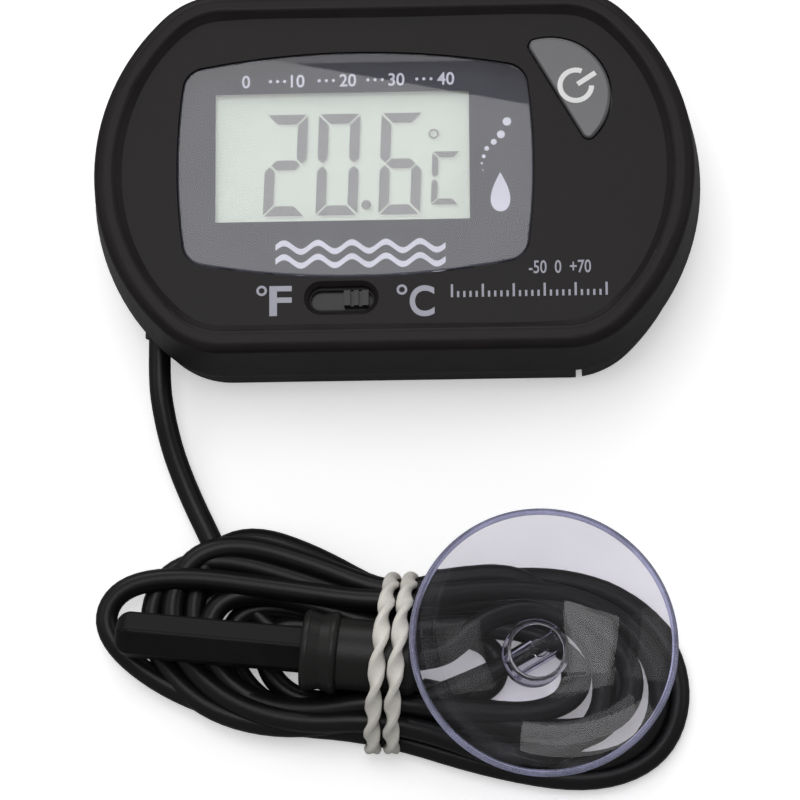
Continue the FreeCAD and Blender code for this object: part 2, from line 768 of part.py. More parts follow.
def make_batteries():
    profile = [
        ("0", "0", None),
        ("cell_radius - 0.4", "0", None),
        ("cell_radius", "0.4", None),
        ("cell_radius", "cell_height - 0.7", None),
        ("cell_radius - 0.3", "cell_height - 0.4", None),
        ("cell_radius - 0.9", "cell_height - 0.4", None),
        ("cell_radius - 1.0", "cell_height", None),
        ("0", "cell_height", None),
    ]
    upper = new_body("button_cell_upper")
    revolve(upper, outline(sketch(upper, role="XZ_Plane"), profile))
    place(upper, "cell_centre_x", "cell_centre_y", "cell_level")
    lower = new_body("button_cell_lower")
    revolve(lower, outline(sketch(lower, role="XZ_Plane"), profile))
    place(lower, "cell_centre_x", "-cell_centre_y", "cell_level + cell_height", axis=(1, 0, 0), turn="180")

    cell_top = "(cell_level + cell_height)"
    roof = "(parting_level + 0.05)"
    holder = new_body("battery_holder")
    pad(holder, rectangle(sketch(holder, roof), "tray_left", "tray_right", "0.4 - tray_half_height",
                          "tray_half_height - 0.4"), "tray_thickness")
    walls = outline(sketch(holder, roof), [
        ("tray_left", "-tray_half_height", None),
        ("tray_wall_end", "-tray_half_height", None),
        ("tray_wall_end", "0.7 - tray_half_height", None),
        ("tray_left + 0.5", "0.7 - tray_half_height", None),
        ("tray_left + 0.5", "tray_half_height - 0.7", None),
        ("tray_wall_end", "tray_half_height - 0.7", None),
        ("tray_wall_end", "tray_half_height", None),
        ("tray_left", "tray_half_height", None),
    ])
    pad(holder, walls, f"{roof} - floor_thickness - 0.1", towards=-1)
    slots = sketch(holder, roof)
    for side in ("", "-"):
        centre = f"{side}cell_centre_y"
        rectangle(slots, "contact_left - 0.1", "contact_left + 0.7",
                  f"{centre} - contact_half_width - 0.3", f"{centre} + contact_half_width + 0.3")
    pocket(holder, slots, "tray_thickness", towards=1)
    for label, side in (("battery_positive_contact", ""), ("battery_negative_contact", "-")):
        centre = f"{side}cell_centre_y"
        low, high = f"{centre} - contact_half_width", f"{centre} + contact_half_width"
        leaf = block("leaf", "contact_left", "contact_left + 6.7", low, high, cell_top, roof, keep=False)
        tab = block("tab", "contact_left", "contact_left + 0.3", low, high, roof, "board_level", keep=False)
        combine("Part::MultiFuse", label, [leaf, tab])
    # the plate that joins the two cells is fixed to the inside of the door
    block("battery_bridge_contact", "door_left + 0.8", "door_left + 7", "-8.6", "8.6",
          "floor_thickness", "floor_thickness + 0.2")


# --- cable ------------------------------------------------------------------------------------


def rounded_path(points):
    """Straight runs joined by tangent arcs, each as large as its two runs allow."""
    share = 0.45
    points = [FreeCAD.Vector(*point) for point in points]
    edges = []
    start = points[0]
    for before, corner, after in zip(points, points[1:], points[2:]):
        backward = (before - corner).normalize()
        forward = (after - corner).normalize()
        shorter = min((corner - before).Length, (after - corner).Length)
        half_turn = (math.pi - backward.getAngle(forward)) / 2
        reach = share * shorter
        radius = reach / math.tan(half_turn)
        centre = corner + (backward + forward).normalize() * (radius / math.cos(half_turn))
        middle = centre + (corner - centre).normalize() * radius
        arc_start = corner + backward * reach
        arc_end = corner + forward * reach
        edges.append(Part.LineSegment(start, arc_start).toShape())
        edges.append(Part.Arc(arc_start, middle, arc_end).toShape())
        start = arc_end
    edges.append(Part.LineSegment(start, points[-1]).toShape())
    return Part.Wire(edges)


def tube(points, radius):
    """A round cord along such a path."""
    path = rounded_path(points)
    start = FreeCAD.Vector(*points[0])
    along = FreeCAD.Vector(*points[1]) - start
    section = Part.Wire([Part.makeCircle(radius, start, along)])
    return path.makePipeShell([section], True, False)


def feature(label, shape, keep=True):
    """A shape as an object of the document, and as a sub-part unless it is only a piece of one."""
    made = doc.addObject("Part::Feature", "Shape")
    made.Shape = shape
    return node(made, label) if keep else made


# The cable leaves the gland, comes down to the table and dives under the hank.
CABLE_ROUTE = [
    (-23.8, -14.0, 3.7),
    (-23.9, -18.2, 3.5),
    (-23.45, -21.6, 2.9),
    (-22.7, -24.9, 2.1),
    (-21.6, -28.0, 1.5),
    (-20.35, -30.9, 1.15),
    (-19.0, -33.7, 1.1),
]

# The hank seen from above, as the closed curve through its outermost turns.
HANK_OUTLINE = [
    (-30.0, -42.3), (-28.3, -46.8), (-22.3, -51.6), (-14.0, -54.0), (-3.0, -55.0), (4.0, -57.0),
    (10.0, -59.0), (16.0, -59.7), (24.0, -57.6), (28.1, -51.0), (25.5, -42.6), (19.0, -39.2),
    (10.5, -37.5), (0.0, -38.3), (-8.0, -35.0), (-15.0, -33.4), (-21.0, -34.8), (-27.0, -38.3),
]
WAIST_X = -1.7
WAIST_Y = -46.7
WAIST_TURN = -7.0
# where each wrap of the tie crosses the middle of the waist, and how far it leans
TIE_WRAPS = [(-1.8, -7.5), (0.0, -7.1)]


def probe_direction():
    angle = math.radians(size("probe_angle"))
    return FreeCAD.Vector(math.cos(angle), math.sin(angle), 0)


def make_cable():
    gland = doc.addObject("Part::Cylinder", "Gland")
    bind(gland, Radius="gland_radius", Height="gland_inner_y - gland_outer_y")
    place(gland, "cable_exit_x", "gland_inner_y", "cable_exit_z", axis=(1, 0, 0), turn="90")
    node(gland, "cable_gland")
    feature("probe_cable", tube(CABLE_ROUTE, size("cable_radius")))

    exit_x, inner_y, exit_z = size("cable_exit_x"), size("gland_inner_y"), size("cable_exit_z")
    board = size("board_level")
    leads = []
    for shift in (0.0, 1.0):
        route = [
            (exit_x - 0.35 + 0.8 * shift, inner_y, exit_z),
            (exit_x - 0.35 + 0.8 * shift, inner_y + 0.8, exit_z),
            (exit_x + 4.4 + shift, inner_y + 3.0 - shift, exit_z + 0.6),
            (exit_x + 4.4 + shift, inner_y + 3.0 - shift, board),
        ]
        leads.append(feature("lead", tube(route, 0.35), keep=False))
    combine("Part::Compound", "sensor_leads", leads)


def make_hank():
    points = [FreeCAD.Vector(x, y, 0) for x, y in HANK_OUTLINE]
    curve = Part.BSplineCurve()
    curve.interpolate(points, PeriodicFlag=True)
    slab = Part.Face(Part.Wire([curve.toShape()])).extrude(FreeCAD.Vector(0, 0, size("hank_height")))
    # the turns pile up where the tie pulls them together
    pile = Part.makeBox(12, 13.4, size("waist_height"), FreeCAD.Vector(-6, -6.7, 0))
    under_tie = Part.makeBox(5.4, 20, size("tie_thickness") + 0.1, FreeCAD.Vector(-2.6, -10, 0))
    turn = FreeCAD.Placement(FreeCAD.Vector(WAIST_X + 0.9, WAIST_Y, 0), FreeCAD.Rotation(WAIST_TURN, 0, 0))
    pile.Placement = turn
    under_tie.Placement = turn
    # room for the probe that lies in the hank, and for the knob of the suction cup
    along = probe_direction()
    collar = FreeCAD.Vector(size("collar_x"), size("collar_y"), size("probe_level"))
    gap = 0.3
    sleeve = Part.makeCylinder(size("sleeve_radius") + gap, size("sleeve_length"), collar, along)
    lip_start = collar - along * gap
    lip = Part.makeCylinder(size("lip_radius") + gap, size("lip_length") + 2 * gap, lip_start, along)
    capsule_radius, capsule_length = size("capsule_radius") + gap + 0.2, size("capsule_length") + 1
    capsule = Part.makeCylinder(capsule_radius, capsule_length, collar, along * -1)
    tilt = math.radians(size("cup_tilt"))
    cup_axis = FreeCAD.Vector(math.sin(tilt), 0, math.cos(tilt))
    rim = FreeCAD.Vector(size("cup_centre_x"), size("cup_centre_y"), size("cup_rim_level"))
    knob_end = rim - cup_axis * (size("cup_length") + 0.7)
    knob = Part.makeCylinder(size("cup_knob_radius") + 1.0, 12, knob_end, FreeCAD.Vector(0, 0, 1))
    hank = slab.fuse(pile).cut([under_tie, sleeve, lip, capsule, knob]).removeSplitter()
    feature("cable_hank", Part.Solid(hank.Solids[0]))


def make_tie():
    wraps = []
    for x, lean in TIE_WRAPS:
        body = doc.addObject("PartDesign::Body", "Wrap")
        for grow, towards in (("tie_thickness", 1), ("0", -1)):
            side, low = f"(tie_half_span + {grow})", f"tie_thickness - {grow}"
            top, top_side = f"tie_top + {grow}", f"(tie_top_half_span + {grow} / 2)"
            level = "-tie_width / 2" if towards > 0 else "tie_width / 2"
            band = outline(sketch(body, level, role="YZ_Plane"), [
                (f"-{side}", low, None),
                (side, low, None),
                (side, "tie_shoulder", None),
                (top_side, top, None),
                (f"-{top_side}", top, None),
                (f"-{side}", "tie_shoulder", None),
            ])
            if towards > 0:
                pad(body, band, "tie_width")
            else:
                pocket(body, band, "tie_width")
        place(body, at(x), at(WAIST_Y), turn=at(lean))
        wraps.append(body)
    combine("Part::Compound", "cable_tie", wraps)


# --- probe ------------------------------------------------------------------------------------


def lay_along_probe(thing, shift="0"):
    """Turns a piece made about the Z axis so that its +Z runs from the collar to the cable, and
    shifts it that way."""
    along = probe_direction()
    x = f"collar_x + ({shift}) * cos(probe_angle * 1deg)"
    y = f"collar_y + ({shift}) * sin(probe_angle * 1deg)"
    rotation = FreeCAD.Rotation(FreeCAD.Vector(-along.y, along.x, 0), 90)
    thing.Placement = FreeCAD.Placement(FreeCAD.Vector(0, 0, 0), rotation)
    bind(thing, Placement__Base__x=x, Placement__Base__y=y, Placement__Base__z="probe_level")


def make_probe():
    capsule = new_body("probe_capsule")
    # a hexagon with one corner a little off the top, so that two facets show
    corners = []
    for index in range(6):
        angle = f"((capsule_top_corner + {60 * index}) * 1deg)"
        corners.append((f"1.06 * capsule_radius * cos{angle}", f"1.06 * capsule_radius * sin{angle}", None))
    low, high = "-capsule_length", "capsule_insert"
    pad(capsule, outline(sketch(capsule, low), corners), f"({high}) - ({low})")
    fillet(capsule, upright_edges(capsule, number(low), number(high)), "0.5")
    fillet(capsule, level_edges(capsule, number(low)), "1.5")
    bore = circle(sketch(capsule, high), "0", "0", "capsule_radius - capsule_wall")
    pocket(capsule, bore, "capsule_length + capsule_insert - 2.2 * capsule_wall")
    lay_along_probe(capsule)

    sleeve = new_body("probe_sleeve")
    profile = outline(sketch(sleeve, role="XZ_Plane"), [
        ("sleeve_bore", "0", None),
        ("lip_radius - 0.4", "0", "0.25"),
        ("lip_radius", "0.8", None),
        ("lip_radius - 0.25", "lip_length / 2", None),
        ("lip_radius", "lip_length - 0.9", "0.3"),
        ("sleeve_radius", "lip_length", None),
        ("sleeve_radius", "sleeve_length - 1", "0.2"),
        ("sleeve_radius - 0.9", "sleeve_length", None),
        ("0", "sleeve_length", None),
        ("0", "capsule_insert + 0.4", None),
        ("sleeve_bore", "capsule_insert + 0.4", None),
    ])
    revolve(sleeve, profile)
    lay_along_probe(sleeve)

    # the bead of the thermistor sits near the tip, and a plug of resin closes the capsule
    bead = doc.addObject("Part::Ellipsoid", "Bead")
    bind(bead, Radius1="1.2", Radius2="0.9", Radius3="0.9")
    lay_along_probe(bead, "3.6 * capsule_wall - capsule_length")
    node(bead, "thermistor_bead")
    plug = doc.addObject("Part::Cylinder", "Plug")
    bind(plug, Radius="capsule_radius - capsule_wall", Height="3 * capsule_wall")
    lay_along_probe(plug)
    node(plug, "probe_potting")


# --- suction cup ------------------------------------------------------------------------------


def make_suction_cup():
    cup = new_body("suction_cup")
    profile = outline(sketch(cup, role="XZ_Plane"), [
        ("0", "-cup_length", None),
        ("cup_knob_radius - 0.9", "-cup_length", "0.26"),
        ("cup_knob_radius", "0.9 - cup_length", None),
        ("cup_knob_radius", "2.3 - cup_length", "0.1"),
        ("cup_neck_radius", "2.9 - cup_length", None),
        ("cup_neck_radius", "-cup_depth - 0.6", "-0.1"),
        ("cup_neck_radius + 0.6", "-cup_depth", "1.0"),
        ("cup_radius - 0.15", "-0.75", "0.12"),
        ("cup_radius - 0.15", "0", None),
        ("cup_radius - 0.5", "0", "-1.1"),
        ("0.9", "1.2 - cup_depth", None),
        ("0.8", "1.5 - cup_depth", None),
        ("0", "1.5 - cup_depth", None),
    ])
    revolve(cup, profile)
    # a cable can be pushed through the knob from side to side
    hole = circle(sketch(cup, "-5", role="XZ_Plane"), "0", "1.55 - cup_length", "cup_hole_radius")
    pocket(cup, hole, "10", towards=1)
    tilt = FreeCAD.Rotation(FreeCAD.Vector(0, 1, 0), size("cup_tilt"))
    turn = FreeCAD.Rotation(FreeCAD.Vector(0, 0, 1), size("cup_hole_angle") - 90)
    base = FreeCAD.Vector(size("cup_centre_x"), size("cup_centre_y"), size("cup_rim_level"))
    cup.Placement = FreeCAD.Placement(base, tilt.multiply(turn))
    bind(cup, Placement__Base__x="cup_centre_x", Placement__Base__y="cup_centre_y",
         Placement__Base__z="cup_rim_level")


make_front_shell()
make_back_shell()
make_battery_door()
screw(CASE_SCREWS, "case_screws", "case_screw_radius", "1.5", "0.3", "1.5", "11")
make_window()
make_display()
make_board()
make_components()
screw(BOARD_SCREWS, "board_screws", "board_screw_radius", "1.3", "board_level - 1", "board_level",
      "12")
make_power_key()
make_unit_slider()
make_batteries()
make_cable()
make_hank()
make_tie()
make_probe()
make_suction_cup()
doc.recompute()

faults = [thing.Label for thing in doc.Objects if "Invalid" in thing.State or "Error" in thing.State]
for thing in NODES:
    shape = thing.Shape
    if shape.isNull() or not shape.isValid() or not shape.Solids:
        faults.append(thing.Label)
if faults:
    raise RuntimeError(f"not sound: {faults}")
for thing in NODES:
    thing.Shape.exportStep(f"parts/{thing.Label}.step")
    box = thing.Shape.BoundBox
    print(f"{thing.Label:26s} {len(thing.Shape.Solids)} solid, {thing.Shape.Volume:10.3f} mm3,",
          f"z {box.ZMin:6.2f} to {box.ZMax:6.2f}")
print(len(NODES), "sub-parts")
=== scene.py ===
import math

import bmesh
import bpy
from mathutils import Matrix, Vector


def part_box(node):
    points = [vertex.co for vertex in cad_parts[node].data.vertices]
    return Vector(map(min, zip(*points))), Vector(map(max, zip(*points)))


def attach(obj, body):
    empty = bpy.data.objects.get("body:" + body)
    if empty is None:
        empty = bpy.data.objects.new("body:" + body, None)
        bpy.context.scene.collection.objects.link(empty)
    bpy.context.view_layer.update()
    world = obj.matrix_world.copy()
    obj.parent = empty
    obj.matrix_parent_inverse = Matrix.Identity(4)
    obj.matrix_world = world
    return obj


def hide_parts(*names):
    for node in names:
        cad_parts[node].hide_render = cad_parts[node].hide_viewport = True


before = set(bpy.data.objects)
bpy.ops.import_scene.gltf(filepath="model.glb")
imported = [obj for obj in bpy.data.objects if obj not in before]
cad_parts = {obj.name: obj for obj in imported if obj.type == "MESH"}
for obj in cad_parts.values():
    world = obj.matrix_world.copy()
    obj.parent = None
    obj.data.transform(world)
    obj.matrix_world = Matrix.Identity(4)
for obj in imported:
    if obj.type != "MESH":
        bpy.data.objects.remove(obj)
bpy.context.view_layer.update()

# A digital aquarium thermometer with its probe cable tied in a hank, seen from above.
# Sizes below are in millimetres, and the frame is in metres.

MM = 0.001
scene = bpy.context.scene
scene.view_settings.view_transform = "Standard"


def metres(*point):
    return Vector(point) * MM


def mix(a, b, share):
    return a + (b - a) * share


def whole_turn(steps):
    """Evenly spaced angles, once round."""
    return [2 * math.pi * step / steps for step in range(steps)]


def link(name, data, body="root"):
    """Adds an object that rides on a body."""
    made = bpy.data.objects.new(name, data)
    scene.collection.objects.link(made)
    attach(made, body)
    return made


def skin(mesh, rings, closed):
    """Faces between neighbouring rings of points. An open run of rings gets two end faces."""
    following_rings = rings[1:] + (rings[:1] if closed else [])
    for ring, following in zip(rings, following_rings):
        for side in range(len(ring)):
            after = (side + 1) % len(ring)
            mesh.faces.new((ring[side], following[side], following[after], ring[after]))
    if not closed:
        mesh.faces.new(rings[0])
        mesh.faces.new(rings[-1])


def finished(name, mesh, material, smooth):
    """The mesh as data for an object, with its faces turned outwards."""
    bmesh.ops.recalc_face_normals(mesh, faces=mesh.faces)
    data = bpy.data.meshes.new(name)
    mesh.to_mesh(data)
    if smooth:
        data.shade_smooth()
    data.materials.append(material)
    return data


# --- camera -----------------------------------------------------------------------------------

CAMERA_PLACE = metres(21.44, -129.56, 475.24)
CAMERA_TARGET = metres(0.22, -21.69, 8.0)
CAMERA_ROLL = math.radians(0.3)
CAMERA_LENS = 220.6


def make_camera():
    """A long lens that looks down, tipped a little from the lower side of the display."""
    data = bpy.data.cameras.new("camera")
    data.sensor_width = 36
    data.lens = CAMERA_LENS
    data.clip_start = 0.01
    data.clip_end = 20
    camera = bpy.data.objects.new("camera", data)
    scene.collection.objects.link(camera)
    back = (CAMERA_PLACE - CAMERA_TARGET).normalized()
    picture_up = Vector((math.sin(CAMERA_ROLL), math.cos(CAMERA_ROLL), 0))
    right = picture_up.cross(back).normalized()
    camera.matrix_world = Matrix.Translation(CAMERA_PLACE) @ Matrix(
        (right, back.cross(right), back)).transposed().to_4x4()
    scene.camera = camera


# --- materials --------------------------------------------------------------------------------


def wire(tree, source, output, target, socket):
    """Links a node's output to another node's input socket, by name or number."""
    tree.links.new(source.outputs[output], target.inputs[socket])


def noise(tree, place, size_mm, detail=3.0):
    """Noise whose lumps are about size_mm across."""
    texture = tree.nodes.new("ShaderNodeTexNoise")
    texture.inputs["Scale"].default_value = 1 / (size_mm * MM)
    texture.inputs["Detail"].default_value = detail
    wire(tree, place, "Object", texture, "Vector")
    return texture


def surface(name, colour, roughness, mottle=0.15, patch=4.0, spread=0.06, grain=0.25, depth=0.02,
            **sockets):
    """A Principled material. Its colour and roughness wander over patches, and its surface has
    grains, both in millimetres across; depth is how deep the grains are."""
    made = bpy.data.materials.new(name)
    made.use_nodes = True
    tree = made.node_tree
    shader = tree.nodes["Principled BSDF"]
    place = tree.nodes.new("ShaderNodeTexCoord")
    patches = noise(tree, place, patch)
    ramp = tree.nodes.new("ShaderNodeValToRGB")
    for stop, share in zip(ramp.color_ramp.elements, (1 - mottle, 1 + mottle)):
        stop.color = [min(1, channel * share) for channel in colour] + [1]
    ramp.color_ramp.elements[0].position = 0.3
    ramp.color_ramp.elements[1].position = 0.7
    wire(tree, patches, "Fac", ramp, "Fac")
    wire(tree, ramp, "Color", shader, "Base Color")
    gloss = tree.nodes.new("ShaderNodeMapRange")
    gloss.inputs["To Min"].default_value = roughness - spread
    gloss.inputs["To Max"].default_value = roughness + spread
    grains = noise(tree, place, grain, detail=2.0)
    wire(tree, patches, "Fac", gloss, "Value")
    wire(tree, gloss, "Result", shader, "Roughness")
    bump = tree.nodes.new("ShaderNodeBump")
    bump.inputs["Strength"].default_value = 1
    bump.inputs["Distance"].default_value = depth * MM
    wire(tree, grains, "Fac", bump, "Height")
    wire(tree, bump, "Normal", shader, "Normal")
    for socket, value in sockets.items():
        shader.inputs[socket.replace("_", " ")].default_value = value
    return made


def swap_for_rays(material, other, source, output):
    """Has another shader in the material's place for the rays that an output picks."""
    tree = material.node_tree
    both = tree.nodes.new("ShaderNodeMixShader")
    wire(tree, source, output, both, 0)
    wire(tree, tree.nodes["Principled BSDF"], "BSDF", both, 1)
    wire(tree, other, "BSDF", both, 2)
    wire(tree, both, "Shader", tree.nodes["Material Output"], "Surface")
    return material


def let_lamps_through(material, tint):
    """Light from the lamps passes straight through clear plastic, so what is behind it is lit."""
    nodes = material.node_tree.nodes
    clear = nodes.new("ShaderNodeBsdfTransparent")
    clear.inputs["Color"].default_value = (*tint, 1)
    return swap_for_rays(material, clear, nodes.new("ShaderNodeLightPath"), "Is Shadow Ray")


HOUSING = surface("housing_black", (0.0105, 0.0085, 0.009), 0.42, grain=0.16, depth=0.012,
                  Specular_IOR_Level=0.15)
KEY_GREY = surface("key_grey", (0.066, 0.066, 0.072), 0.3, mottle=0.05, grain=0.2, depth=0.004,
                   Coat_Weight=0.3, Coat_Roughness=0.15)
GLOSS_BLACK = surface("switch_black", (0.008, 0.008, 0.008), 0.3, grain=0.3, depth=0.006,
                      Specular_IOR_Level=0.3)
LENS = let_lamps_through(
    surface("lens_clear", (0.98, 0.98, 1.0), 0.01, mottle=0.01, spread=0.002, grain=9.0,
            depth=0.0, Transmission_Weight=1.0, IOR=1.49), (0.96, 0.96, 0.97))
MASK = surface("mask_print", (0.095, 0.095, 0.13), 0.4, mottle=0.04, grain=0.3, depth=0.002)
PRINT = surface("pale_print", (0.56, 0.56, 0.66), 0.45, mottle=0.06, grain=0.15, depth=0.004)
FACE_PRINT = surface("grey_print", (0.31, 0.31, 0.37), 0.5, mottle=0.06, grain=0.15, depth=0.004)
DISPLAY = surface("display_film", (0.36, 0.41, 0.35), 0.5, mottle=0.02, patch=1.2, grain=0.1,
                  depth=0.001)
SEGMENT = surface("segment_grey", (0.06, 0.06, 0.066), 0.5, mottle=0.03, depth=0.001)
SEGMENT_SHADOW = surface("segment_shadow", (0.28, 0.31, 0.27), 0.5, mottle=0.03, depth=0.001)
GLASS = surface("display_glass", (0.7, 0.75, 0.7), 0.1, mottle=0.03, depth=0.001)
BOARD = surface("board_green", (0.02, 0.12, 0.05), 0.45, mottle=0.2, patch=1.5, grain=0.2)
RESIN = surface("chip_resin", (0.02, 0.02, 0.022), 0.55, grain=0.1, depth=0.01)
COMPONENT = surface("component_tan", (0.35, 0.27, 0.18), 0.5, patch=0.8, grain=0.1)
HOLDER = surface("holder_white", (0.7, 0.7, 0.67), 0.5, mottle=0.04, grain=0.3, depth=0.01)
RUBBER = surface("connector_rubber", (0.09, 0.09, 0.1), 0.7, patch=0.6, grain=0.1)
STEEL = surface("screw_steel", (0.55, 0.55, 0.56), 0.32, mottle=0.08, patch=0.8, grain=0.12,
                depth=0.004, Metallic=1.0)
CELL = surface("cell_steel", (0.68, 0.67, 0.65), 0.24, mottle=0.05, patch=1.5, grain=0.2,
               depth=0.003, Metallic=1.0)
SPRING = surface("spring_metal", (0.72, 0.66, 0.5), 0.3, mottle=0.06, patch=1.0, grain=0.2,
                 depth=0.003, Metallic=1.0)
CABLE = surface("cable_black", (0.006, 0.006, 0.0065), 0.34, patch=6.0, grain=0.5, depth=0.012,
                Specular_IOR_Level=0.2)
LEAD = surface("lead_red", (0.35, 0.03, 0.02), 0.45, grain=0.3)
TIE = surface("tie_white", (0.62, 0.6, 0.55), 0.5, mottle=0.07, patch=1.2, grain=0.12, depth=0.02)
PROBE = surface("probe_black", (0.007, 0.0065, 0.007), 0.34, grain=0.5, depth=0.008, patch=3.0,
                Specular_IOR_Level=0.08)
PROBE_RUBBER = surface("sleeve_black", (0.01, 0.0095, 0.009), 0.4, grain=0.3, depth=0.02,
                       Specular_IOR_Level=0.22)
CUP = let_lamps_through(
    surface("cup_clear", (0.71, 0.695, 0.745), 0.01, mottle=0.02, patch=6.0, spread=0.002,
            grain=7.0, depth=0.0, Transmission_Weight=1.0, IOR=1.32), (0.8, 0.79, 0.84))
# the thick rim: partly the plastic's own lilac tint, partly painted glow for the light that the rim
# gathers
CUP_RIM_TINT_AND_GLOW = surface("cup_rim_lilac_and_painted_glow", (0.55, 0.56, 0.76), 0.2, mottle=0.2, patch=3.0, grain=0.8,
                  depth=0.01, Transmission_Weight=0.75, IOR=1.3)
# painted highlight: pale rods that stand for the bright edges of the clear knob and of the hole in
# it
CUP_EDGE_HIGHLIGHT = surface("cup_edge_painted_highlight", (0.42, 0.42, 0.52), 0.25, mottle=0.2, patch=1.0, grain=0.5,
                   depth=0.01)
WHITE_PRINT = surface("white_print", (0.7, 0.7, 0.7), 0.5, mottle=0.04, grain=0.3, depth=0.01)

NODE_MATERIALS = {
    "front_shell": HOUSING, "back_shell": HOUSING, "battery_door": HOUSING,
    "case_screws": STEEL, "board_screws": STEEL,
    "window_lens": LENS, "window_mask": MASK,
    "lcd_rear_glass": GLASS, "lcd_front_glass": GLASS, "lcd_polarizer": DISPLAY,
    "lcd_reflector": DISPLAY, "lcd_holder": HOLDER,
    "zebra_strip_upper": RUBBER, "zebra_strip_lower": RUBBER,
    "circuit_board": BOARD, "controller_chip": RESIN, "timing_crystal": STEEL,
    "chip_resistors": RESIN, "chip_capacitors": COMPONENT,
    "power_button": KEY_GREY, "power_switch_case": STEEL, "power_switch_plunger": GLOSS_BLACK,
    "unit_slide_knob": GLOSS_BLACK, "unit_switch_case": STEEL, "unit_switch_slider": GLOSS_BLACK,
    "button_cell_upper": CELL, "button_cell_lower": CELL, "battery_holder": HOUSING,
    "battery_positive_contact": SPRING, "battery_negative_contact": SPRING,
    "battery_bridge_contact": SPRING, "cable_gland": CABLE, "sensor_leads": LEAD,
    "probe_cable": CABLE, "cable_hank": CABLE, "cable_tie": TIE,
    "probe_capsule": PROBE, "probe_sleeve": PROBE_RUBBER,
    "thermistor_bead": COMPONENT, "probe_potting": RESIN, "suction_cup": CUP,
}


def dress_nodes():
    """Gives every CAD node its material."""
    for name, material in NODE_MATERIALS.items():
        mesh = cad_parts[name].data
        mesh.materials.clear()
        mesh.materials.append(material)


# --- probe cable ------------------------------------------------------------------------------

CABLE_DIAMETER = 2.2

# The cable leaves the gland, comes down to the table and dives under the hank.
CABLE_ROUTE = [
    (-23.8, -14.0, 3.7),
    (-23.9, -18.2, 3.5),
    (-23.45, -21.6, 2.9),
    (-22.7, -24.9, 2.1),
    (-21.6, -28.0, 1.5),
    (-20.35, -30.9, 1.15),
    (-19.0, -33.7, 1.1),
]
# Under the hank it goes on to the tie.
UNDER_HANK = [
    (-17.6, -36.9, 1.1),
    (-15.5, -40.3, 1.1),
    (-12.3, -43.6, 1.1),
    (-7.6, -45.9, 1.3),
]
# From its last turn it comes round the knob of the suction cup to the back of the probe.
TO_PROBE = [
    (3.6, -54.2, 4.3),
    (9.4, -56.4, 3.5),
    (15.6, -56.2, 3.3),
    (19.6, -52.6, 3.3),
    (19.8, -47.6, 3.3),
    (17.0, -43.2, 3.4),
    (12.2, -41.6, 3.9),
    (7.8, -43.2, 5.0),
    (5.6, -45.7, 6.1),
    (3.6, -47.3, 6.7),
    (1.2, -47.27, 6.7),
]

# Where the turns pass under the tie: the place along Y and the height above the table of each
# crossing, at the low side and the high side of the hank, in the order that the cable takes.
WAIST = (-1.6, -46.7)
LEAN = math.tan(math.radians(7.0))
LOW_SIDE = [(-47.6, 1.7), (-49.1, 1.7), (-50.6, 1.7), (-52.0, 1.7), (-53.5, 1.7), (-50.9, 5.2),
            (-50.3, 3.4), (-52.2, 3.4), (-52.8, 5.1)]
HIGH_SIDE = [(-45.9, 1.7), (-44.2, 1.7), (-42.4, 1.7), (-41.6, 5.6), (-40.4, 1.7), (-43.8, 3.8),
             (-42.1, 3.8), (-40.4, 3.9)]

# The loops on either side of the tie, in the same order: how far each reaches, where its tip lies
# along Y, how far its lower and upper halves bow out, and how high above the table they lie.
RIGHT_LOOPS = [
    (11.0, -47.4, 2.7, 2.6, 1.1, 1.1),
    (18.6, -48.4, 3.4, 3.2, 1.1, 1.1),
    (23.2, -49.6, 4.9, 4.5, 1.1, 1.1),
    (27.2, -50.2, 6.2, 5.2, 1.1, 3.3),
    (29.2, -50.3, 6.9, 6.3, 1.1, 1.1),
    (19.5, -49.0, 2.6, 2.2, 3.3, 3.3),
    (24.5, -49.5, 4.4, 4.2, 3.3, 3.3),
    (16.6, -44.0, -0.6, 4.0, 2.2, 3.0),
]
LEFT_LOOPS = [
    (12.0, -45.2, 3.0, 3.0, 1.1, 1.1),
    (15.5, -44.0, 3.7, 3.3, 1.1, 1.1),
    (19.0, -42.8, 3.8, 3.6, 1.1, 1.1),
    (27.8, -42.0, 2.0, 3.6, 1.1, 4.6),
    (19.3, -41.6, 4.2, 7.3, 3.3, 1.6),
    (17.6, -43.6, 3.8, 4.0, 3.3, 3.3),
    (23.4, -41.9, 4.6, 5.9, 2.6, 1.8),
    (21.3, -41.4, 3.6, 6.2, 3.6, 2.4),
]
LOOP_POINTS = 8


def crossing(side):
    """A crossing under the tie, which leans."""
    y, z = side
    return (WAIST[0] + (y - WAIST[1]) * LEAN, y, z)


def loop_points(low, high, loop, way):
    """Half a turn from a low crossing to a high one, out to the right or, with way -1, the left."""
    reach, tip_y, low_bow, high_bow, low_z, high_z = loop
    start, end = crossing(low), crossing(high)
    shift = tip_y - (start[1] + end[1]) / 2
    points = []
    for step in range(1, LOOP_POINTS):
        share = step / LOOP_POINTS
        angle = math.pi * share
        out = math.sin(angle)
        bow = low_bow if share < 0.5 else high_bow
        waist_x = mix(start[0], end[0], share)
        x = waist_x + way * reach * out
        y = mix(start[1], end[1], share) + shift * out ** 2 - bow * math.sin(2 * angle)
        waist_z = mix(start[2], end[2], share)
        points.append((x, y, mix(waist_z, mix(low_z, high_z, share), out)))
    return points


def cable_points():
    """The whole cord, from the gland through every turn of the hank to the probe."""
    points = CABLE_ROUTE + UNDER_HANK
    for turn, high in enumerate(HIGH_SIDE):
        low, next_low = LOW_SIDE[turn], LOW_SIDE[turn + 1]
        points += [crossing(low)]
        points += loop_points(low, high, RIGHT_LOOPS[turn], 1)
        points += [crossing(high)]
        points += loop_points(next_low, high, LEFT_LOOPS[turn], -1)[::-1]
    return points + [crossing(LOW_SIDE[-1])] + TO_PROBE


